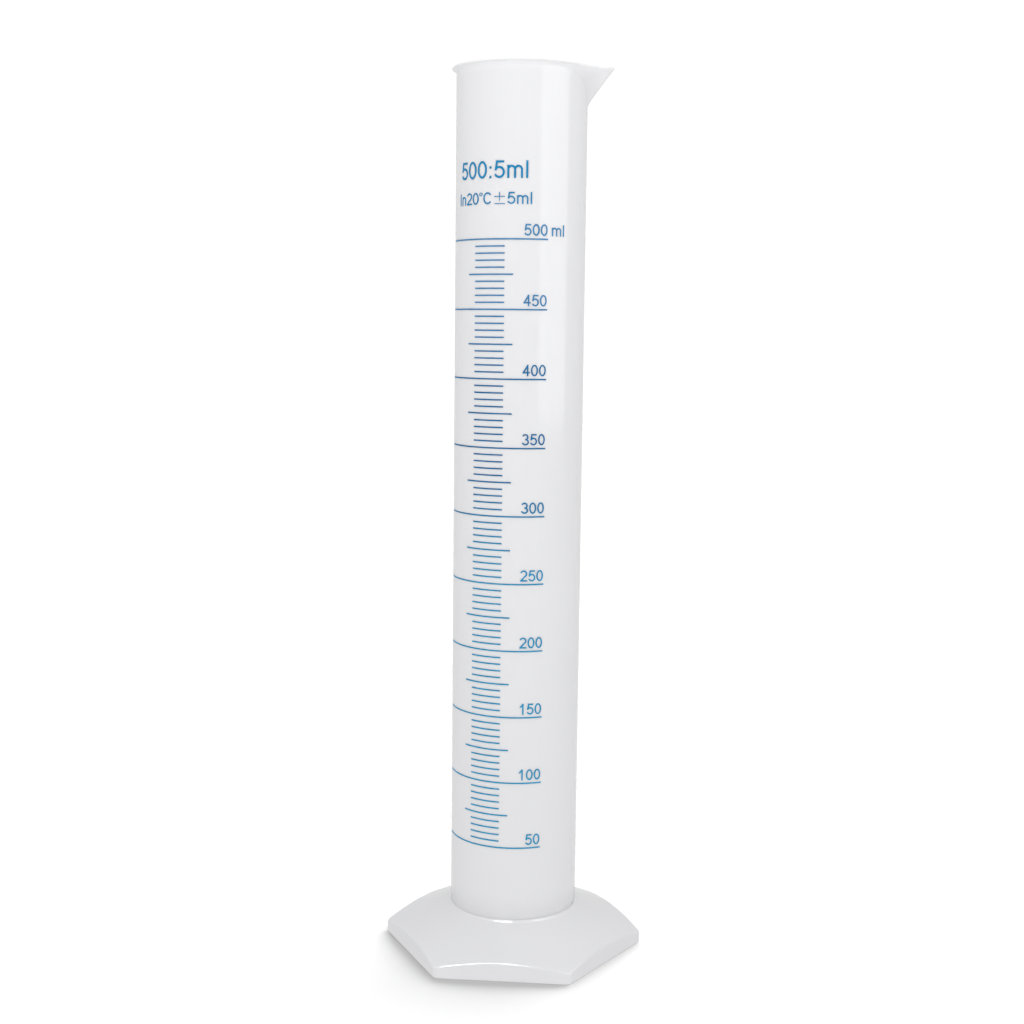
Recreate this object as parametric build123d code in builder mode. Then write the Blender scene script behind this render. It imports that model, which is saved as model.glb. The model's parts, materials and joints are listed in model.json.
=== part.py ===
from build123d import *
import os
from math import acos, cos, degrees, pi, radians, sin, tan

# A 500 ml measuring cylinder. Lengths in millimetres, angles in degrees, volumes in millilitres.
# Origin: centre of the foot on the table. +Z runs up the tube and +X points at the spout.

# Tube
bore_radius = 24.4
tube_wall = 1.5
floor_height = 20.0  # inside of the floor above the table
floor_thickness = 2.0
floor_corner = 4.0  # inside radius where the wall meets the floor
mouth_draft = 0.1  # the bore opens by this much a side, from the spout's root to the rim
skirt_bottom = 5.0  # the wall goes on below the floor, down into the foot
skirt_wall = 1.8

# Rim and spout
overall_height = 354.8
rim_overhang = 1.7  # how far the rim stands out from the wall
rim_rise = 2.4  # height over which the wall curves out
rim_edge = 1.1  # thickness of the rim at the top
spout_reach = 37.0  # axis to the sharp point that the spout's two faces would meet at
spout_depth = 14.6  # rim to the point where the keel leaves the wall
spout_wall = 1.2
spout_nose = 2.5  # radius of the nose, seen from above

# Foot
foot_across_flats = 92.6
foot_corner = 3.0
foot_wall = 2.2
cone_slope = 23.3  # fall of the foot's top from the tube outwards
cone_height = 16.2  # of the cone where it would meet the tube
neck_fillet = 1.8
neck_land = 0.3
foot_edge = 0.8  # rounding where the cone meets the six sides
collar_wall = 2.2
collar_bottom = 3.0
lip_radius = 22.0

# Printed scale
capacity = 500
main_step = 50
half_step = 25
fine_step = 5
scale_angle = -112.7  # middle of the scale, turned from the spout
main_length = 46.75
half_length = 19.75
fine_length = 12.9
line_height = 0.52
ink = 0.12  # thickness of the print

number_height = 4.4
number_stroke = 0.55
number_width = 0.94  # narrower than the standard letters
unit_width = 1.03
number_lift = 1.0  # numbers above their line
unit_gap = 1.2
capacity_height = 6.6
capacity_width = 0.97
capacity_stroke = 0.8
capacity_base = 310.4
tolerance_height = 4.5
tolerance_stroke = 0.55
tolerance_width = 1.02
tolerance_base = 300.7
sign_stroke = 0.5  # the signs are drawn in half the letters' stroke

tube_radius = bore_radius + tube_wall
rim_radius = tube_radius + rim_overhang
corner_centroid = floor_corner * (10 - 3 * pi) / (12 - 3 * pi)
corner_volume = floor_corner**2 * (1 - pi / 4) * 2 * pi * (bore_radius - corner_centroid)


def level(volume):
    """Height of the liquid's surface, with the volume that the floor's round corner takes up."""
    return floor_height + (1000 * volume + corner_volume) / (pi * bore_radius**2)


def radial_plane(angle):
    """Upright half plane through the axis: x is the distance from the axis, y the height."""
    return Plane(
        origin=(0, 0, 0),
        x_dir=(cos(radians(angle)), sin(radians(angle)), 0),
        z_dir=(sin(radians(angle)), -cos(radians(angle)), 0),
    )


# Tube: a solid post with the rim and the spout's pyramid, then the inside taken out
rim_start = overall_height - rim_rise
tangent_angle = acos(rim_radius / spout_reach)
spout_half_angle = pi / 2 - tangent_angle  # between each face's top edge and the spout's centre line
shoulder = (rim_radius * cos(tangent_angle), rim_radius * sin(tangent_angle))
keel_root = overall_height - spout_depth
keel_lean = (spout_reach - tube_radius) / spout_depth
face_normal_x = 1 / (1 + (1 / tan(spout_half_angle)) ** 2 + keel_lean**2) ** 0.5
spout_shift = spout_wall / face_normal_x  # along X, for that much wall square to each face
overcut = 1.1  # the inner pyramid runs out above the rim by a tenth of its height

with BuildPart() as measuring_tube:
    with BuildSketch(Plane.XZ):
        with BuildLine():
            Polyline((tube_radius, rim_start), (tube_radius, skirt_bottom), (0, skirt_bottom),
                     (0, overall_height), (rim_radius, overall_height),
                     (rim_radius, overall_height - rim_edge / 2))
            RadiusArc((tube_radius, rim_start), (rim_radius, overall_height - rim_edge / 2), -2 * rim_rise)
        make_face()
    revolve(axis=Axis.Z)

    with BuildSketch(Plane.XY.offset(overall_height)) as spout_mouth:
        Polygon((spout_reach, 0), shoulder, (shoulder[0], -shoulder[1]), align=None)
        fillet(spout_mouth.vertices().sort_by(Axis.X)[-1], spout_nose)
    loft([spout_mouth.sketch, Vertex(tube_radius, 0, keel_root)])

    with BuildSketch(Plane.XZ):
        with BuildLine():
            Polyline((rim_radius - rim_edge, overall_height + 1), (0, overall_height + 1), (0, floor_height),
                     (bore_radius - floor_corner, floor_height))
            RadiusArc((bore_radius - floor_corner, floor_height),
                      (bore_radius, floor_height + floor_corner), -floor_corner)
            Polyline((bore_radius, floor_height + floor_corner), (bore_radius, keel_root),
                     (bore_radius + mouth_draft, rim_start))
            RadiusArc((bore_radius + mouth_draft, rim_start), (rim_radius - rim_edge, overall_height),
                      -2 * rim_rise)
            Line((rim_radius - rim_edge, overall_height), (rim_radius - rim_edge, overall_height + 1))
        make_face()
    revolve(axis=Axis.Z, mode=Mode.SUBTRACT)

    with BuildSketch(Plane.XY.offset(keel_root + overcut * spout_depth)) as spout_channel:
        Polygon((tube_radius - spout_shift + overcut * (spout_reach - tube_radius), 0),
                (tube_radius - spout_shift + overcut * (shoulder[0] - tube_radius), overcut * shoulder[1]),
                (tube_radius - spout_shift + overcut * (shoulder[0] - tube_radius), -overcut * shoulder[1]),
                align=None)
        fillet(spout_channel.vertices().sort_by(Axis.X)[-1], spout_nose)
    loft([spout_channel.sketch, Vertex(tube_radius - spout_shift, 0, keel_root)], mode=Mode.SUBTRACT)

    with BuildSketch(Plane.XY.offset(skirt_bottom)):
        Circle(tube_radius - skirt_wall)
    extrude(amount=floor_height - floor_thickness - skirt_bottom, mode=Mode.SUBTRACT)
measuring_tube.part.label = "measuring_tube"

# Foot: a hexagonal prism cut by a cone, with a small neck where the tube comes out, hollow from below
foot_apothem = foot_across_flats / 2
foot_far = foot_apothem / cos(radians(30)) + 1


def cone_top(radius, drop=0):
    """Height of the foot's conical top, or of a surface that lies drop below it."""
    return cone_height - drop - (radius - tube_radius) * tan(radians(cone_slope))


neck_radius = tube_radius + neck_land + neck_fillet
neck_top = cone_top(neck_radius) + neck_fillet / cos(radians(cone_slope))
hollow_drop = foot_wall / cos(radians(cone_slope))

with BuildPart() as hollow:
    with BuildSketch():
        RegularPolygon(foot_apothem - foot_wall, 6, major_radius=False)
        fillet(vertices(), foot_corner - foot_wall / 2)
    extrude(amount=cone_height)
    with BuildSketch(Plane.XZ):
        Polygon((0, 0), (foot_far, 0), (foot_far, cone_top(foot_far, hollow_drop)),
                (tube_radius, cone_top(tube_radius, hollow_drop)), (0, cone_top(tube_radius, hollow_drop)),
                align=None)
    revolve(axis=Axis.Z, mode=Mode.INTERSECT)

with BuildPart() as hexagonal_foot:
    with BuildSketch():
        RegularPolygon(foot_apothem, 6, major_radius=False)
        fillet(vertices(), foot_corner)
    extrude(amount=neck_top)
    with BuildSketch(Plane.XZ):
        with BuildLine():
            neck = CenterArc((neck_radius, neck_top), neck_fillet, 180, 90 - cone_slope)
            Polyline(neck @ 1, (foot_far, cone_top(foot_far)), (foot_far, 0), (0, 0), (0, neck_top), neck @ 0)
        make_face()
    revolve(axis=Axis.Z, mode=Mode.INTERSECT)
    top_cone = faces().filter_by(GeomType.CONE).sort_by(SortBy.AREA)[-1]
    fillet([edge for edge in top_cone.edges() if edge.center().Z < cone_top(foot_apothem - 1)], foot_edge)
    add(hollow.part, mode=Mode.SUBTRACT)
    with BuildSketch(Plane.XY.offset(collar_bottom)):
        Circle(tube_radius + collar_wall)
        Circle(lip_radius, mode=Mode.SUBTRACT)
    extrude(amount=cone_top(tube_radius + collar_wall) - collar_bottom)
    with BuildSketch(Plane.XY.offset(skirt_bottom)):
        Circle(tube_radius)
    extrude(amount=neck_top - skirt_bottom, mode=Mode.SUBTRACT)
hexagonal_foot.part.label = "hexagonal_foot"


# Printed lines: strips of ink that follow the wall
def ring_lines(volumes, length):
    """One strip for each volume, length long around the wall, centred on the scale."""
    turn = degrees(length / tube_radius)
    with BuildPart() as lines:
        with BuildSketch(radial_plane(scale_angle - turn / 2)):
            with Locations([(tube_radius + ink / 2, level(volume)) for volume in volumes]):
                Rectangle(ink, line_height)
        revolve(axis=Axis.Z, revolution_arc=turn)
    return lines


main_volumes = range(main_step, capacity + 1, main_step)
half_volumes = range(main_step + half_step, capacity, main_step)
fine_volumes = [volume for volume in range(main_step, capacity, fine_step) if volume % half_step]

main_lines = ring_lines(main_volumes, main_length)
main_lines.part.label = "main_lines"
half_lines = ring_lines(half_volumes, half_length)
half_lines.part.label = "half_lines"
fine_lines = ring_lines(fine_volumes, fine_length)
fine_lines.part.label = "fine_lines"

# Letters: each is drawn in a unit cell, with straight strokes as pairs of points and round ones as
# (centre, radii, start angle, swept angle). Advance and width are shares of the letter's height.
digit_cell = (0.776, 0.67)
bar_cell = (0.31, 0.0)
letters = {
    "0": (digit_cell, [], [((0.5, 0.5), (0.5, 0.5), 0, 360)]),
    "1": (digit_cell, [((0.62, 0), (0.62, 1)), ((0.62, 1), (0.2, 0.74))], []),
    "2": (digit_cell, [((0, 0), (1, 0)), ((0, 0), (0.91, 0.56))],
          [((0.5, 0.72), (0.5, 0.28), 165, -200)]),
    "3": (digit_cell, [],
          [((0.48, 0.75), (0.44, 0.25), 160, -250), ((0.48, 0.26), (0.52, 0.26), 90, -255)]),
    "4": (digit_cell, [((0.75, 0), (0.75, 1)), ((0.75, 1), (0, 0.28)), ((0, 0.28), (1, 0.28))], []),
    "5": (digit_cell, [((0.92, 1), (0.2, 1)), ((0.2, 1), (0.07, 0.5))],
          [((0.48, 0.32), (0.52, 0.32), 142, -300)]),
    ":": ((0.39, 0.0), [((0.5, 0), (0.5, 0.02)), ((0.5, 0.62), (0.5, 0.64))], []),
    "m": ((1.13, 0.94), [((0, 0), (0, 0.7)), ((0.5, 0), (0.5, 0.48)), ((1, 0), (1, 0.48))],
          [((0.25, 0.48), (0.25, 0.23), 180, -180), ((0.75, 0.48), (0.25, 0.23), 180, -180)]),
    "n": (digit_cell, [((0.1, 0), (0.1, 0.7)), ((0.9, 0), (0.9, 0.45))],
          [((0.5, 0.45), (0.4, 0.26), 180, -180)]),
    "l": (bar_cell, [((0.5, 0), (0.5, 1))], []),
    "I": ((0.39, 0.0), [((0.5, 0), (0.5, 1))], []),
    "°": ((0.38, 0.34), [], [((0.5, 0.87), (0.5, 0.13), 0, 360)]),
    "C": ((0.96, 0.82), [], [((0.5, 0.5), (0.5, 0.5), 38, 284)]),
    "±": ((1.24, 0.93), [((0.5, 0.28), (0.5, 1)), ((0, 0.64), (1, 0.64)), ((0, 0), (1, 0))], []),
}
signs = "°±"


def wall_plane(along, height):
    """Plane that touches the wall, along millimetres round it from the middle of the scale."""
    angle = radians(scale_angle) + along / tube_radius
    return Plane(
        origin=(tube_radius * cos(angle), tube_radius * sin(angle), height),
        x_dir=(-sin(angle), cos(angle), 0),
        z_dir=(cos(angle), sin(angle), 0),
    )


def text_length(text, height, narrow):
    """Length of a word from the first letter's cell to the last one's."""
    return sum(letters[letter][0][0] for letter in text) * height * narrow


def print_word(text, start, base, height, stroke, narrow=1.0):
    """Raised letters on the wall, from start along it, standing on base: flat letters cut from a thin ring."""
    with BuildPart() as word:
        for letter in text:
            (advance, width), bars, bows = letters[letter]
            middle = start + advance * height * narrow / 2
            start += advance * height * narrow
            pen = stroke * (sign_stroke if letter in signs else 1)
            cell_width = max(width * height * narrow - pen, 0)
            cell_height = height - pen
            with BuildSketch(wall_plane(middle, base + pen / 2)):
                for first, last in bars:
                    ends = [Vector((x - 0.5) * cell_width, y * cell_height) for x, y in (first, last)]
                    cap = (ends[1] - ends[0]).normalized() * pen / 2
                    with BuildLine():
                        Line(ends[0] - cap, ends[1] + cap)
                    trace(line_width=pen)
                for (x, y), (across, up), begin, sweep in bows:
                    with BuildLine():
                        EllipticalCenterArc(((x - 0.5) * cell_width, y * cell_height), across * cell_width,
                                            up * cell_height, begin, arc_size=sweep)
                    trace(line_width=pen)
            extrude(amount=height / 10, both=True)
        with BuildSketch(Plane.XY.offset(base - height / 10)):
            Circle(tube_radius + ink)
            Circle(tube_radius, mode=Mode.SUBTRACT)
        extrude(amount=1.2 * height, mode=Mode.INTERSECT)
    return word


with BuildPart() as scale_numbers:
    for volume in main_volumes:
        number = str(volume)
        number_start = main_length / 2 - text_length(number, number_height, number_width)
        number_base = level(volume) + line_height / 2 + number_lift
        add(print_word(number, number_start, number_base, number_height, number_stroke, number_width).part)
scale_numbers.part.label = "scale_numbers"

unit_mark = print_word("ml", main_length / 2 + unit_gap, level(capacity) + line_height / 2 + number_lift,
                       number_height, number_stroke, unit_width)
unit_mark.part.label = "unit_mark"

capacity_text = f"{capacity}:{fine_step}ml"
capacity_mark = print_word(capacity_text, -text_length(capacity_text, capacity_height, capacity_width) / 2,
                           capacity_base, capacity_height, capacity_stroke, capacity_width)
capacity_mark.part.label = "capacity_mark"

tolerance_text = f"In20°C±{fine_step}ml"
tolerance_mark = print_word(tolerance_text, -text_length(tolerance_text, tolerance_height, tolerance_width) / 2,
                            tolerance_base, tolerance_height, tolerance_stroke, tolerance_width)
tolerance_mark.part.label = "tolerance_mark"

os.makedirs("parts", exist_ok=True)
export_step(measuring_tube.part, "parts/measuring_tube.step")
export_step(hexagonal_foot.part, "parts/hexagonal_foot.step")
export_step(main_lines.part, "parts/main_lines.step")
export_step(half_lines.part, "parts/half_lines.step")
export_step(fine_lines.part, "parts/fine_lines.step")
export_step(scale_numbers.part, "parts/scale_numbers.step")
export_step(unit_mark.part, "parts/unit_mark.step")
export_step(capacity_mark.part, "parts/capacity_mark.step")
export_step(tolerance_mark.part, "parts/tolerance_mark.step")
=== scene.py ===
import json
import math

import bpy
import numpy as np
from mathutils import Matrix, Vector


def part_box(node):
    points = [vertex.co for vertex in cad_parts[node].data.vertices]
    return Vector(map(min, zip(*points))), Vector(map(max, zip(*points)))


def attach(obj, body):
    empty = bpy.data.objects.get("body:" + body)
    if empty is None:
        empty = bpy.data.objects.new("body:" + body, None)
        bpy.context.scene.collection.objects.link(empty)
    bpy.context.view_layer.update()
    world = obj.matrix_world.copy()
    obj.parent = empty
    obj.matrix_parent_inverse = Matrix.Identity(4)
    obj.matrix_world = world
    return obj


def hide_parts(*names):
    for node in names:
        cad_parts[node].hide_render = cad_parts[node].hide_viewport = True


# A milky plastic measuring cylinder with a blue printed scale, in metres, on a white studio floor
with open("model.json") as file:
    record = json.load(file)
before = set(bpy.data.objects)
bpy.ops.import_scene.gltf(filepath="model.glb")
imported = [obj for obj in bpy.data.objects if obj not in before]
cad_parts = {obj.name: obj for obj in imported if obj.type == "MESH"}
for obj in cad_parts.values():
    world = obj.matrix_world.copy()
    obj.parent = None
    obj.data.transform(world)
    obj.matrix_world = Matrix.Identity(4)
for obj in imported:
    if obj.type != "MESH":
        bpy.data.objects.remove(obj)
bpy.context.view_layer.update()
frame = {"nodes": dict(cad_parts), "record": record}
mm = 0.001
print("frame loaded", sorted(frame["nodes"]))

tubeLow, tubeHigh = (np.array(corner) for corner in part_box("measuring_tube"))
boreMount = next(mount for mount in frame["record"]["mounts"] if mount["name"] == "tube_mouth")
boreRadius = boreMount["dims"]["r_mm"] * mm
rimRadius = tubeHigh[1]
rimHeight = tubeHigh[2]
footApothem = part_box("hexagonal_foot")[1][1]


# A closed mesh from a grid of points: rows run along the profile, columns go round, and both come back to
# their start. Each face joins a point, the next one round, and their two followers. A row that is all one
# point becomes a pole, closed by triangles
def gridMesh(name, points, flip=False):
    rows, columns = points.shape[:2]
    pole = np.ptp(points, axis=1).max(axis=-1) == 0
    poleNext = np.roll(pole, -1)
    index = np.arange(rows * columns).reshape(rows, columns)
    index[pole] = index[pole, :1]
    around = np.roll(index, -1, axis=1)
    corners = np.stack([index, around, np.roll(around, -1, axis=0), np.roll(index, -1, axis=0)], axis=-1)
    quads = corners[~pole & ~poleNext].reshape(-1, 4)
    closing = corners[~pole & poleNext][..., :3].reshape(-1, 3)
    opening = corners[pole & ~poleNext][..., 1:].reshape(-1, 3)
    triangles = np.concatenate([closing, opening])
    used, numbers = np.unique(np.concatenate([quads.ravel(), triangles.ravel()]), return_inverse=True)
    quads, triangles = numbers[:quads.size].reshape(-1, 4), numbers[quads.size:].reshape(-1, 3)
    if flip:
        quads, triangles = quads[:, ::-1], triangles[:, ::-1]
    mesh = bpy.data.meshes.new(name)
    mesh.from_pydata(points.reshape(-1, 3)[used].tolist(), [], quads.tolist() + triangles.tolist())
    mesh.shade_smooth()
    piece = bpy.data.objects.new(name, mesh)
    bpy.context.collection.objects.link(piece)
    return piece


# Angles round the axis, closer together near some directions. The density of the columns is 1, plus
# crowding * exp(-(distance / spread)^2) for each direction, and its running total is shared out evenly
def roundAngles(count, directions, crowding, spread):
    steps = 8000  # of the running total, far more than there are columns
    fine = np.linspace(-math.pi, math.pi, steps, endpoint=False)
    density = np.ones_like(fine)
    for direction in directions:
        away = np.abs((fine - direction + math.pi) % (2 * math.pi) - math.pi)
        density += crowding * np.exp(-(away / spread) ** 2)
    total = np.concatenate([[0], np.cumsum(density)])
    return np.interp(np.arange(count) / count * total[-1], total, np.append(fine, math.pi))


# Rows of a profile: their distances from the axis and their heights, each spread out to every column
def band(angle, radii, levels):
    return np.stack(np.broadcast_arrays(radii, levels, np.zeros((1, angle.size)))[:2])


# The same for plain round rows, given as a list of (distance, height)
def roundBand(angle, places):
    radii, levels = np.array(places, float).T
    return band(angle, radii[:, None], levels[:, None])


# Points in space: distance * cos, distance * sin and the height
def pointsRound(angle, radii, levels):
    return np.stack([radii * np.cos(angle), radii * np.sin(angle), levels], axis=-1)


tube = {
    "wall": 1.5 * mm,
    "skirtWall": 1.8 * mm,
    "skirtBevel": 0.3 * mm,
    "floorHeight": 20 * mm,
    "floorThickness": 2 * mm,
    "floorCorner": 4 * mm,
    "floorBevel": 0.4 * mm,
    "floorRings": (12 * mm, 4 * mm),  # radii of the rings of points in the flat floor
    "rimRise": 2.6 * mm,
    "rimEdge": 1.1 * mm,
    "rimTurn": 0.98,  # how far the flare goes towards its quarter circle's level end, as a sine
    "spoutReach": 37.0 * mm,
    "spoutDepth": 14.6 * mm,
    "spoutWall": 1.2 * mm,
    "spoutSlant": 0.655,  # the spout's wall across its face, as a share of its length along X
    "insideTurn": 1.2,  # angle from the nose where the inner face stops closing in on the outer one
    "noseRound": 0.026,
    "behindSlope": 0.004,  # how fast the faces draw back behind the shoulders, in metres a radian
    "behindCurve": 0.05,  # and in metres a radian squared
    "creaseBlend": 0.7 * mm,
    "creaseBelow": 2 * mm,  # the crease starts this far below the keel's root
    "creaseFade": 3 * mm,
    "closeRowsBelow": 1.6 * mm,  # the close rows start this far below the keel's root
    "tipLift": 0.6 * mm,
    "tipReach": 0.7 * mm,
    "tipDepth": 5 * mm,
    "tipSpread": 0.16,
    "columns": 420,
    "crowding": 9,
    "crowdSpread": 0.35,
    "straightRows": 16,
    "closeRows": 64,
    "rimRows": 11,
    "cornerRows": 9,
}
tubeRadius = boreRadius + tube["wall"]
rootHeight = rimHeight - tube["spoutDepth"]
edgeHeight = rimHeight - tube["rimEdge"] / 2


# The larger of two lengths, with a soft corner: half of (a + b + root((a - b)^2 + blend^2))
def softMax(a, b, blend):
    return 0.5 * (a + b + np.sqrt((a - b) ** 2 + blend**2))


# Distance from the axis to the spout's two flat faces, which lean out from the keel's root to the nose:
# (nx * tubeRadius + lean * (height - rootHeight)) / (nx * cos + ny * |sin|). It falls off behind the
# shoulders, by a slope and a curve
def spoutRadius(angle, height):
    shoulder = math.acos(rimRadius / tube["spoutReach"])
    normalX, normalY = rimRadius / tube["spoutReach"], math.sin(shoulder)
    lean = normalX * (tube["spoutReach"] - tubeRadius) / tube["spoutDepth"]
    turned = np.minimum(np.abs(angle), shoulder)
    behind = np.maximum(np.abs(angle) - shoulder, 0)
    sine = np.sqrt(np.sin(turned) ** 2 + tube["noseRound"] ** 2)
    across = normalX * np.cos(turned) + normalY * sine
    radius = (normalX * tubeRadius + lean * (height - rootHeight)) / across
    return radius - tube["behindCurve"] * behind**2 - tube["behindSlope"] * behind


# The plain wall's radius. It goes from narrow to wide over the last of the height, along a quarter circle:
# 1 - root(1 - rise^2), as a share of what that is at the rim
def flaredRadius(height, narrow, wide):
    start = rimHeight - tube["rimRise"]
    rise = np.clip((height - start) / (edgeHeight - start), 0, 1)
    opened = 1 - np.sqrt(1 - np.minimum(rise, tube["rimTurn"]) ** 2)
    return narrow + (wide - narrow) * opened / (1 - math.sqrt(1 - tube["rimTurn"] ** 2))


# The larger of the plain wall and the spout. What softMax adds for the crease fades in from below the root
def withSpout(plain, spout, height):
    start = rootHeight - tube["creaseBelow"]
    swelling = softMax(plain, spout, tube["creaseBlend"]) - np.maximum(plain, spout)
    fade = np.clip((height - start) / tube["creaseFade"], 0, 1)
    return np.maximum(plain, spout * (height > start)) + swelling * fade


# One closed skin: up the outside, over the rim, down the inside, across the floor, and the skirt below it
def makeTube():
    angle = roundAngles(tube["columns"], [0], tube["crowding"], tube["crowdSpread"])
    low = np.linspace(tubeLow[2], rootHeight - tube["creaseBelow"], tube["straightRows"])
    high = np.linspace(rootHeight - tube["closeRowsBelow"], edgeHeight, tube["closeRows"])
    floorCorner, floorHeight = tube["floorCorner"], tube["floorHeight"]
    cornerTop = floorHeight + floorCorner

    heights = np.concatenate([low, high])[:, None]
    plain = flaredRadius(heights, tubeRadius, rimRadius)
    outside = band(angle, withSpout(plain, spoutRadius(angle, heights), heights), heights)

    heights = np.concatenate([high[::-1], low[low > cornerTop][::-1]])[:, None]
    plain = flaredRadius(heights, boreRadius, rimRadius - tube["rimEdge"])
    thickness = tube["spoutWall"] / tube["spoutSlant"] * np.cos(np.minimum(np.abs(angle), tube["insideTurn"]))
    inside = band(angle, withSpout(plain, spoutRadius(angle, heights) - thickness, heights), heights)

    # the rim's round edge is half an ellipse from the outside to the inside
    turn = np.linspace(0, math.pi, tube["rimRows"])[1:-1, None]
    middle = (outside[0, -1] + inside[0, 0]) / 2
    half = (outside[0, -1] - inside[0, 0]) / 2
    rim = band(angle, middle + half * np.cos(turn),
               edgeHeight + np.minimum(half, tube["rimEdge"] / 2) * np.sin(turn))

    # the round corner of the floor, the floor to its pole, then back out under it and down the skirt
    turn = np.linspace(0, math.pi / 2, tube["cornerRows"])[1:, None]
    corner = band(angle, boreRadius - floorCorner * (1 - np.cos(turn)),
                  cornerTop - floorCorner * np.sin(turn))
    outerRing, innerRing = tube["floorRings"]
    under = floorHeight - tube["floorThickness"]
    skirt = tubeRadius - tube["skirtWall"]
    bevel, floorBevel = tube["skirtBevel"], tube["floorBevel"]
    tail = roundBand(angle, [
        (outerRing, floorHeight), (innerRing, floorHeight), (0, floorHeight),
        (0, under), (outerRing, under), (skirt - floorBevel, under), (skirt, under - floorBevel),
        (skirt, tubeLow[2] + bevel), (skirt + bevel, tubeLow[2]), (tubeRadius - bevel, tubeLow[2])])
    radii, levels = np.concatenate([outside, rim, inside, corner, tail], axis=1)

    # the nose of the spout is drawn out and up a little, by a share that fades round the axis and down
    # from the rim
    fromRim = np.clip((levels - rimHeight) / tube["tipDepth"] + 1, 0, 1)
    nose = np.exp(-((angle / tube["tipSpread"]) ** 2)) * fromRim**2
    radii, levels = radii + tube["tipReach"] * nose, levels + tube["tipLift"] * nose
    return gridMesh("tubeShell", pointsRound(angle, radii, levels))


foot = {
    "corner": 3 * mm,
    "wall": 2.2 * mm,
    "slope": math.radians(23.3),
    "coneHeight": 16.2 * mm,  # where the sloping top would meet the tube
    "neckFillet": 1.4 * mm,
    "neckSunk": 0.15 * mm,  # the foot's bore lies this far inside the tube's skin
    "edgeRound": 0.9 * mm,
    "bottomRound": 0.4 * mm,
    "roofRound": 0.6 * mm,
    "roofEase": 0.5 * mm,
    "bevel": 0.3 * mm,
    "boreBevel": 0.1 * mm,
    "collarWall": 2.2 * mm,
    "collarBottom": 3 * mm,
    "seatHeight": 5 * mm,
    "lipRadius": 22 * mm,
    "columns": 480,
    "crowding": 6,
    "crowdSpread": 0.09,
    "neckRows": 9,
    "coneRows": 26,
    "edgeRows": 8,
    "sideRows": 6,
    "bottomRows": 5,
    "roofShares": (0.35, 0.7, 1),  # where the rows of the roof lie, from the wall in to the collar
}


# Distance from the axis to a hexagon's side, apothem / cos, with each corner a circle's arc
def hexagonRadius(angle, apothem, corner):
    halfSide = math.pi / 6  # half the angle that one side covers
    folded = np.abs((angle + math.pi / 2 + halfSide) % (2 * halfSide) - halfSide)
    side = apothem / np.cos(folded)
    centre = (apothem - corner) / math.cos(halfSide)
    fromCorner = halfSide - folded
    reach = np.maximum(corner**2 - (centre * np.sin(fromCorner)) ** 2, 0)
    arc = centre * np.cos(fromCorner) + np.sqrt(reach)
    tangent = math.atan2((apothem - corner) * math.tan(halfSide), apothem)
    return np.where(folded > tangent, arc, side)


# Height of the foot's sloping top, or of the surface that lies drop below it: it falls by tan(slope) outwards
def coneTop(radius, drop=0):
    return foot["coneHeight"] - drop - (radius - tubeRadius) * math.tan(foot["slope"])


# The foot's skin: down the neck's fillet, out along the cone, over the edge, down the flat side, under it, up
# inside the wall, in under the roof, and round the collar and the lip that the tube stands on
def makeFoot():
    corners = [math.pi / 3 * k for k in range(-3, 4)]
    angle = roundAngles(foot["columns"], corners, foot["crowding"], foot["crowdSpread"])
    slope, fillet, edge, bottom = foot["slope"], foot["neckFillet"], foot["edgeRound"], foot["bottomRound"]
    hexagon = hexagonRadius(angle, footApothem, foot["corner"])
    bore = tubeRadius - foot["neckSunk"]

    neckRadius = tubeRadius + fillet
    neckTop = coneTop(neckRadius) + fillet / math.cos(slope)
    turn = np.linspace(math.pi, 1.5 * math.pi - slope, foot["neckRows"])[:, None]
    neck = np.concatenate([
        band(angle, bore, neckTop),
        band(angle, neckRadius + fillet * np.cos(turn), neckTop + fillet * np.sin(turn))], axis=1)

    start, finish = neck[0, -1], hexagon - edge * (1 - math.sin(slope))
    radius = start + np.linspace(0, 1, foot["coneRows"])[1:, None] * (finish - start)
    cone = band(angle, radius, coneTop(radius))

    # the rounded edge, the flat side, and the small round below it
    edgeHeight = coneTop(finish) - edge * math.cos(slope)
    turn = np.linspace(math.pi / 2 - slope, 0, foot["edgeRows"])[1:, None]
    over = band(angle, hexagon - edge * (1 - np.cos(turn)), edgeHeight + edge * np.sin(turn))
    share = np.linspace(0, 1, foot["sideRows"])[1:, None]
    side = band(angle, hexagon, edgeHeight + share * (bottom - edgeHeight))
    turn = np.linspace(0, -math.pi / 2, foot["bottomRows"])[1:, None]
    under = band(angle, hexagon - bottom * (1 - np.cos(turn)), bottom * (1 + np.sin(turn)))

    # up inside the wall, and in along the roof to the collar
    inner = hexagonRadius(angle, footApothem - foot["wall"], foot["corner"] - foot["wall"] / 2)
    drop = foot["wall"] / math.cos(slope)
    bevel, boreBevel, ease = foot["bevel"], foot["boreBevel"], foot["roofEase"]
    roofStart = inner - foot["roofRound"]
    wall = np.concatenate([
        band(angle, inner + bevel, 0), band(angle, inner, bevel),
        band(angle, inner, coneTop(inner, drop) - ease),
        band(angle, roofStart, coneTop(roofStart, drop))], axis=1)
    collar = tubeRadius + foot["collarWall"]
    radius = roofStart + np.array(foot["roofShares"])[:, None] * (collar + ease - roofStart)
    roof = band(angle, radius, coneTop(radius, drop))

    # down the collar, under it, up over the lip, and into the bore
    low, lip, seat = foot["collarBottom"], foot["lipRadius"], foot["seatHeight"]
    socket = roundBand(angle, [
        (collar, coneTop(collar, drop) - foot["roofRound"]), (collar, low + bevel), (collar - bevel, low),
        (lip + bevel, low), (lip, low + bevel), (lip, seat - bevel), (lip + bevel, seat),
        (bore - boreBevel, seat), (bore, seat + boreBevel)])
    radii, levels = np.concatenate([neck, cone, over, side, under, wall, roof, socket], axis=1)
    return gridMesh("footShell", pointsRound(angle, radii, levels), flip=True)


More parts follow.
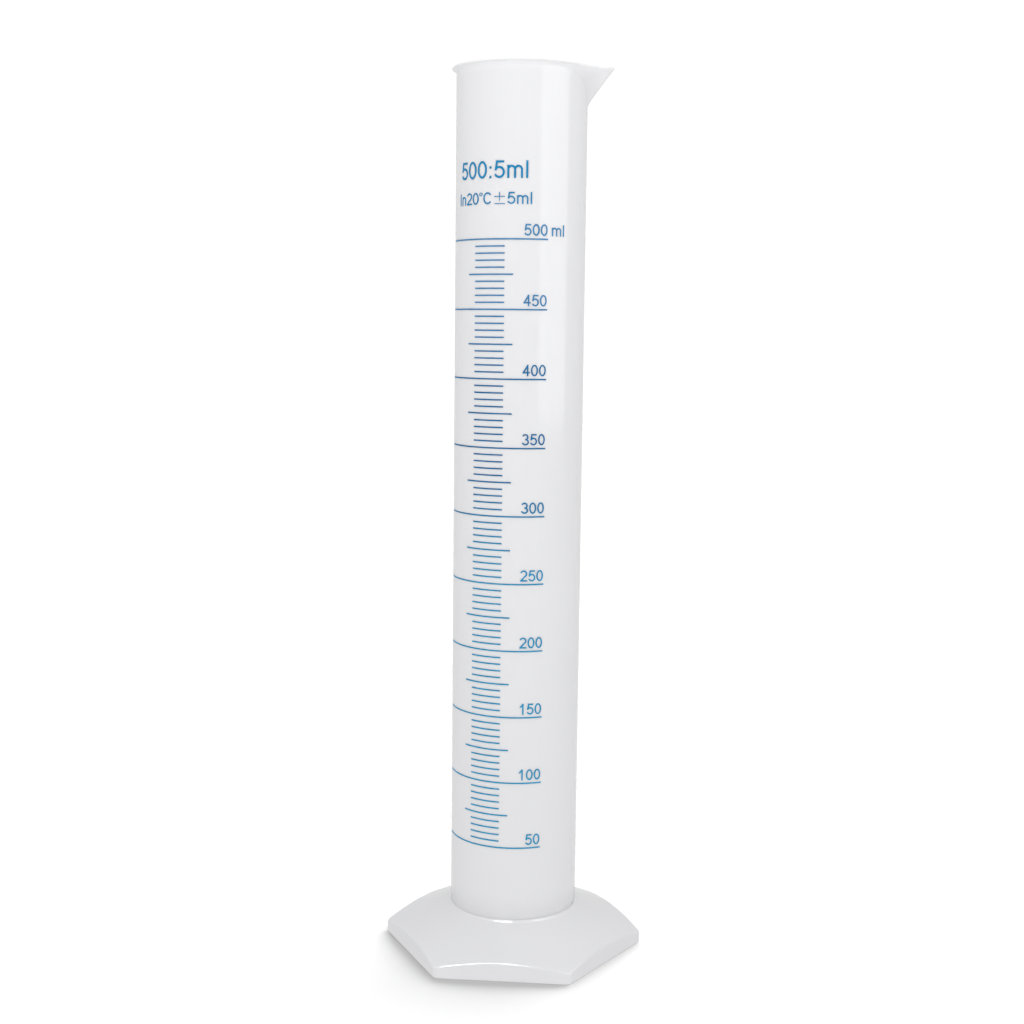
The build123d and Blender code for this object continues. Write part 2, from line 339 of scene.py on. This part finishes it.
# One socket of a material: sums and products of sockets add Math nodes, and node() adds any other node
class Wire:
    def __init__(self, tree, socket=None):
        self.tree, self.socket = tree, socket

    def node(self, kind, settings=None, sockets=None, out=0):
        made = self.tree.nodes.new(kind)
        for name, setting in (settings or {}).items():
            if name == "stops":
                ramp = made.color_ramp
                while len(ramp.elements) < len(setting):
                    ramp.elements.new(0.5)
                for element, (place, colour) in zip(ramp.elements, setting):
                    element.position, element.color = place, (*colour, 1)
            else:
                setattr(made, name, setting)
        for name, given in (sockets or {}).items():
            if isinstance(given, Wire):
                self.tree.links.new(given.socket, made.inputs[name])
            else:
                made.inputs[name].default_value = given
        return Wire(self.tree, made.outputs[out] if made.outputs else None)

    # another output of the same node
    def output(self, index):
        return Wire(self.tree, self.socket.node.outputs[index])

    def math(self, operation, first, second):
        return self.node("ShaderNodeMath", {"operation": operation}, {0: first, 1: second})

    def __add__(self, other):
        return self.math("ADD", self, other)

    __radd__ = __add__

    def __sub__(self, other):
        return self.math("SUBTRACT", self, other)

    def __rsub__(self, other):
        return self.math("SUBTRACT", other, self)

    def __mul__(self, other):
        return self.math("MULTIPLY", self, other)

    __rmul__ = __mul__


def startMaterial(name):
    material = bpy.data.materials.new(name)
    material.use_nodes = True
    material.node_tree.nodes.clear()
    return material, Wire(material.node_tree)


def finishMaterial(material, shader):
    shader.node("ShaderNodeOutputMaterial", None, {"Surface": shader})
    return material


def grey(level):
    return (level, level, level, 1)


# Blend of two colours by a value
def mixColour(factor, first, second):
    return factor.node("ShaderNodeMix", {"data_type": "RGBA"}, {0: factor, 6: first, 7: second}, out=2)


# A smooth step from 0 to 1 as a value goes from low to high
def smoothStep(value, low, high):
    return value.node("ShaderNodeMapRange", {"interpolation_type": "SMOOTHSTEP"}, {
        "Value": value, "From Min": low, "From Max": high, "To Min": 0.0, "To Max": 1.0})


# the radius beyond which, and the height above which, the colour is painted lighter: painted light, as if
# shining through the thin wall of the flare, spout and rim, and of the foot's corners
tubeMilk = {
    "clear": (0.765, 0.765, 0.78, 1),
    "cloudy": (0.785, 0.785, 0.80, 1),
    "thin": (0.815, 0.815, 0.825, 1),
    "thinFrom": (27.5 * mm, rimHeight - 5 * mm),
    "roughness": 0.085,
    "relief": 0.06,
    "sink": 1.0,
    "depth": 1.5 * mm,
}
# the foot is the same plastic as the tube, painted darker: painted shade, to offset the extra light that its
# upturned top catches
footMilk = {
    "clear": (0.722, 0.722, 0.737, 1),
    "cloudy": (0.742, 0.742, 0.757, 1),
    "thin": (0.742, 0.742, 0.757, 1),
    "thinFrom": (48 * mm, rimHeight),
    "roughness": 0.09,
    "relief": 0.10,
    "sink": 0.0,
    "depth": 1.0 * mm,
}
milkPattern = {
    "clouds": 38.0,  # waves a metre, as are the next two
    "flow": (420.0, 420.0, 9.0),
    "grain": 2600.0,
    "bump": 0.2 * mm,
    "outwardFade": 5 * mm,
    "upwardFade": 4 * mm,
}


# Milky polypropylene: light sinks in and scatters, with faint clouding, flow marks up the moulding and fine
# grain. It is painted lighter further out and higher up, by the larger of a smooth step outwards and one
# upwards:
# painted light, as if shining through the thin wall
def milkyPlastic(name, settings):
    material, start = startMaterial(name)
    place = start.node("ShaderNodeTexCoord", None, None, out=3)
    clouds = start.node("ShaderNodeTexNoise", None, {
        "Vector": place, "Scale": milkPattern["clouds"], "Detail": 4.0, "Roughness": 0.55})
    stretched = start.node("ShaderNodeMapping", None, {"Vector": place, "Scale": milkPattern["flow"]})
    flow = start.node("ShaderNodeTexNoise", None, {"Vector": stretched, "Scale": 1.0, "Detail": 3.0})
    grain = start.node("ShaderNodeTexNoise", None, {
        "Vector": place, "Scale": milkPattern["grain"], "Detail": 2.0})
    level = place.node("ShaderNodeSeparateXYZ", None, {0: place}, out=2)
    flat = place.node("ShaderNodeVectorMath", {"operation": "MULTIPLY"}, {0: place, 1: (1.0, 1.0, 0.0)})
    radius = flat.node("ShaderNodeVectorMath", {"operation": "LENGTH"}, {0: flat}, out=1)
    # painted light: the colour turns lighter beyond this radius and above this height
    edge, top = settings["thinFrom"]
    outward = smoothStep(radius, edge, edge + milkPattern["outwardFade"])
    upward = smoothStep(level, top, top + milkPattern["upwardFade"])
    body = mixColour(clouds * 0.7 + flow * 0.3, settings["clear"], settings["cloudy"])
    bump = start.node("ShaderNodeBump", None, {
        "Strength": settings["relief"], "Distance": milkPattern["bump"], "Height": grain * 0.4 + flow * 0.6})
    shader = start.node("ShaderNodeBsdfPrincipled", None, {
        # the base colour holds the painted light of the lighter flare, spout, rim and foot corners
        "Base Color": mixColour(outward.math("MAXIMUM", outward, upward), body, settings["thin"]),
        "Roughness": settings["roughness"] + clouds * 0.06 + grain * 0.04 - 0.05,
        "IOR": 1.49,
        "Subsurface Weight": settings["sink"],
        "Subsurface Radius": (1.0, 1.0, 1.0),
        "Subsurface Scale": settings["depth"],
        "Normal": bump,
    })
    return finishMaterial(material, shader)


# The ink was laid on unevenly: greener and thinner low down, deep in the middle, and thin again near the
# 500 line. Each stop is a share of the rim's height, and its colour
inkBlue = {
    "stops": [
        (0.12, (0.008, 0.29, 0.52)),
        (0.46, (0.006, 0.26, 0.48)),
        (0.55, (0.001, 0.13, 0.32)),
        (0.65, (0.001, 0.13, 0.32)),
        (0.73, (0.035, 0.20, 0.42)),
        (0.81, (0.045, 0.22, 0.44)),
        (0.86, (0.004, 0.21, 0.43)),
    ],
    "patches": 700.0,
    "grain": 5200.0,
    "leastDensity": 0.4,
    "patchDensity": 0.8,
    "grainDensity": 0.4,
}


# Screen-printed ink, flat to the touch. Its colour is a ramp up the scale, times a density of
# least + patch * coarse noise + grain * fine noise, which is about 1 on average
def printedInk(name, settings):
    material, start = startMaterial(name)
    place = start.node("ShaderNodeTexCoord", None, None, out=3)
    patches = start.node("ShaderNodeTexNoise", None, {
        "Vector": place, "Scale": settings["patches"], "Detail": 3.0})
    grain = start.node("ShaderNodeTexNoise", None, {
        "Vector": place, "Scale": settings["grain"], "Detail": 1.0})
    level = place.node("ShaderNodeSeparateXYZ", None, {0: place}, out=2)
    hue = level.node("ShaderNodeValToRGB", {"stops": settings["stops"]}, {0: level * (1 / rimHeight)})
    density = patches * settings["patchDensity"] + grain * settings["grainDensity"] + settings["leastDensity"]
    colour = hue.node("ShaderNodeVectorMath", {"operation": "SCALE"}, {0: hue, "Scale": density})
    bump = start.node("ShaderNodeBump", None, {"Strength": 0.15, "Distance": 0.03 * mm, "Height": grain})
    shader = start.node("ShaderNodeBsdfPrincipled", None, {
        "Base Color": colour, "Roughness": 0.42 + grain * 0.12, "Specular IOR Level": 0.2, "Normal": bump})
    return finishMaterial(material, shader)


# The matrix that puts a thing at a place, with its own X, Y and Z along three directions
def placed(right, up, back, place):
    matrix = np.eye(4)
    matrix[:3, 0], matrix[:3, 1], matrix[:3, 2], matrix[:3, 3] = right, up, back, place
    return Matrix(matrix.tolist())


view = {
    "distance": 618.3 * mm,
    "height": 254.3 * mm,
    "azimuth": math.radians(5.0),
    "tilt": math.radians(6.90),
    "roll": math.radians(0.64),
    "swing": math.radians(-0.20),
    "lens": 53.83,
    "sensor": 36,
}


# The camera stands on a circle round the tube. It looks at the axis but for the swing, tilts down, and is
# rolled about its own axis: right * cos + up * sin, and up * cos - right * sin
def makeCamera():
    data = bpy.data.cameras.new("camera")
    data.lens, data.sensor_width = view["lens"], view["sensor"]
    data.clip_start = 10 * mm
    camera = bpy.data.objects.new("camera", data)
    bpy.context.collection.objects.link(camera)
    stand, tilt, roll = view["azimuth"], view["tilt"], view["roll"]
    aim = stand - view["swing"]
    forward = np.array([-math.sin(aim) * math.cos(tilt), math.cos(aim) * math.cos(tilt), -math.sin(tilt)])
    right = np.array([math.cos(aim), math.sin(aim), 0])
    up = np.cross(right, forward)
    turnedRight = right * math.cos(roll) + up * math.sin(roll)
    turnedUp = up * math.cos(roll) - right * math.sin(roll)
    place = (math.sin(stand) * view["distance"], -math.cos(stand) * view["distance"], view["height"])
    camera.matrix_world = placed(turnedRight, turnedUp, -forward, place)
    bpy.context.scene.camera = camera


# The matrix that puts a lamp at a place, shining against the direction away
def facing(away, place):
    away = away / np.linalg.norm(away)
    side = np.cross((0, 0, 1), away)
    side = side / np.linalg.norm(side)
    return placed(side, np.cross(away, side), away, place)


# A soft light, turned to face a point
def areaLight(name, place, target, size, power, diffuse=True, glossy=True):
    data = bpy.data.lights.new(name, "AREA")
    data.shape, data.size, data.size_y = "RECTANGLE", size[0], size[1]
    data.energy = power
    lamp = bpy.data.objects.new(name, data)
    lamp.visible_diffuse, lamp.visible_glossy, lamp.visible_camera = diffuse, glossy, False
    bpy.context.collection.objects.link(lamp)
    lamp.matrix_world = facing(np.array(place) - np.array(target), place)
    return lamp


# A broad sun that shines from a direction
def sunLight(name, towards, spread, strength):
    data = bpy.data.lights.new(name, "SUN")
    data.energy, data.angle = strength, spread
    lamp = bpy.data.objects.new(name, data)
    lamp.visible_glossy = False
    bpy.context.collection.objects.link(lamp)
    lamp.matrix_world = facing(np.array(towards, float), (0, 0, 1))
    return lamp


studio = {
    "sky": 0.838,
    "slant": 0.05,  # how much brighter the walls are in front of the cylinder than beside it
    "lean": 0.05,  # how much brighter they are on the right than on the left
    "backdrop": 1.1,
    "floorHalf": 6,
    "floorSeen": 0.516,
    "floorTone": 1.01,
    "floorBounce": 0.80,
}
# the tall soft box makes the band of gloss down the tube, the glints shine on the foot's edges, and the high
# front lamp fills in the upper part of the tube
lamps = {
    "glossBox": {
        "place": (0.93, -0.41, 0.72), "target": (0, 0, 0.72), "size": (1.04, 1.14), "power": 5.6,
        "diffuse": False},
    "frontGlint": {
        "place": (-0.18, -0.68, 0.62), "target": (0, 0, 0), "size": (0.40, 0.36), "power": 14.0,
        "diffuse": False},
    "sideGlint": {
        "place": (0.62, -0.42, 0.6), "target": (0, 0, 0), "size": (0.26, 0.26), "power": 3.0,
        "diffuse": False},
    "highFront": {
        "place": (0.05, -0.6, 0.45), "target": (0, 0, 0.3), "size": (0.3, 0.3), "power": 1.26,
        "glossy": False},
}
footLamps = ("frontGlint", "sideGlint")
floorSun = {"towards": (0.29, 0.96, 0.47), "spread": math.radians(80), "strength": 8.8}


# White studio walls, as light: sky - slant * back + rightward. What the camera sees of them is plain white
def makeSky():
    world = bpy.data.worlds.new("studioWhite")
    bpy.context.scene.world = world
    world.use_nodes = True
    world.node_tree.nodes.clear()
    start = Wire(world.node_tree)
    direction = start.node("ShaderNodeTexCoord")
    straight = start.node("ShaderNodeVectorRotate", {"rotation_type": "Z_AXIS"}, {
        "Vector": direction, "Angle": -view["azimuth"]})
    across = straight.node("ShaderNodeSeparateXYZ", None, {0: straight})
    back = across.output(1)
    rightward = across.node("ShaderNodeMapRange", None, {"Value": across, "To Max": studio["lean"]})
    light = studio["sky"] - studio["slant"] * back + rightward
    seen = start.node("ShaderNodeLightPath")
    strength = light * (1 - seen) + studio["backdrop"] * seen
    sky = start.node("ShaderNodeBackground", None, {"Color": grey(1), "Strength": strength})
    sky.node("ShaderNodeOutputWorld", None, {"Surface": sky})


# A square floor that shows as white paper to the camera, and glows a set amount to everything else
def makeFloor():
    half = studio["floorHalf"]
    mesh = bpy.data.meshes.new("floor")
    points = [(-half, -half, 0), (half, -half, 0), (half, half, 0), (-half, half, 0)]
    mesh.from_pydata(points, [], [(0, 1, 2, 3)])
    floor = bpy.data.objects.new("floor", mesh)
    bpy.context.collection.objects.link(floor)
    material, start = startMaterial("floorWhite")
    place = start.node("ShaderNodeTexCoord", None, None, out=3)
    tone = start.node("ShaderNodeTexNoise", None, {"Vector": place, "Scale": 3.0})
    paper = mixColour(tone, grey(studio["floorSeen"]), grey(studio["floorSeen"] * studio["floorTone"]))
    seen = start.node("ShaderNodeBsdfDiffuse", None, {"Color": paper})
    bounce = start.node("ShaderNodeEmission", None, {"Color": grey(1), "Strength": studio["floorBounce"]})
    rays = start.node("ShaderNodeLightPath")
    shown = start.node("ShaderNodeMixShader", None, {0: rays, 1: bounce, 2: seen})
    mesh.materials.append(finishMaterial(material, shown))
    return floor


# A collection of a few objects, for the lamps that only some pieces feel
def groupOf(name, *pieces):
    group = bpy.data.collections.new(name)
    for piece in pieces:
        group.objects.link(piece)
    return group


def makeStudio(footShell):
    floor = makeFloor()
    makeSky()
    for name, settings in lamps.items():
        lamp = areaLight(name, **settings)
        if name in footLamps:
            lamp.light_linking.receiver_collection = groupOf(name + "Only", footShell)
    # a broad sun from behind on the right, on the floor alone, so that the foot has a soft shadow in front
    floorKey = sunLight("floorKey", **floorSun)
    floorKey.light_linking.receiver_collection = groupOf("floorOnly", floor)
    floorKey.light_linking.blocker_collection = groupOf("lowBlockers", footShell, floor)
    bpy.context.scene.view_settings.view_transform = "Standard"
    bpy.context.scene.view_settings.look = "None"


tubePlastic = milkyPlastic("milkyTubePlastic", tubeMilk)
footPlastic = milkyPlastic("milkyFootPlastic", footMilk)
ink = printedInk("blueScaleInk", inkBlue)

tubeShell = makeTube()
tubeShell.data.materials.append(tubePlastic)
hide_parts("measuring_tube")
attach(tubeShell, "root")
print("tube made", len(tubeShell.data.polygons), "faces")

footShell = makeFoot()
footShell.data.materials.append(footPlastic)
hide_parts("hexagonal_foot")
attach(footShell, "root")
print("foot made", len(footShell.data.polygons), "faces")

makeCamera()
makeStudio(footShell)
print("camera, lights and floor made")

printedNodes = (
    "main_lines", "half_lines", "fine_lines", "scale_numbers", "unit_mark", "capacity_mark", "tolerance_mark")
for node in printedNodes:
    data = frame["nodes"][node].data
    data.materials.clear()
    data.materials.append(ink)
print("ink given to the printed nodes")
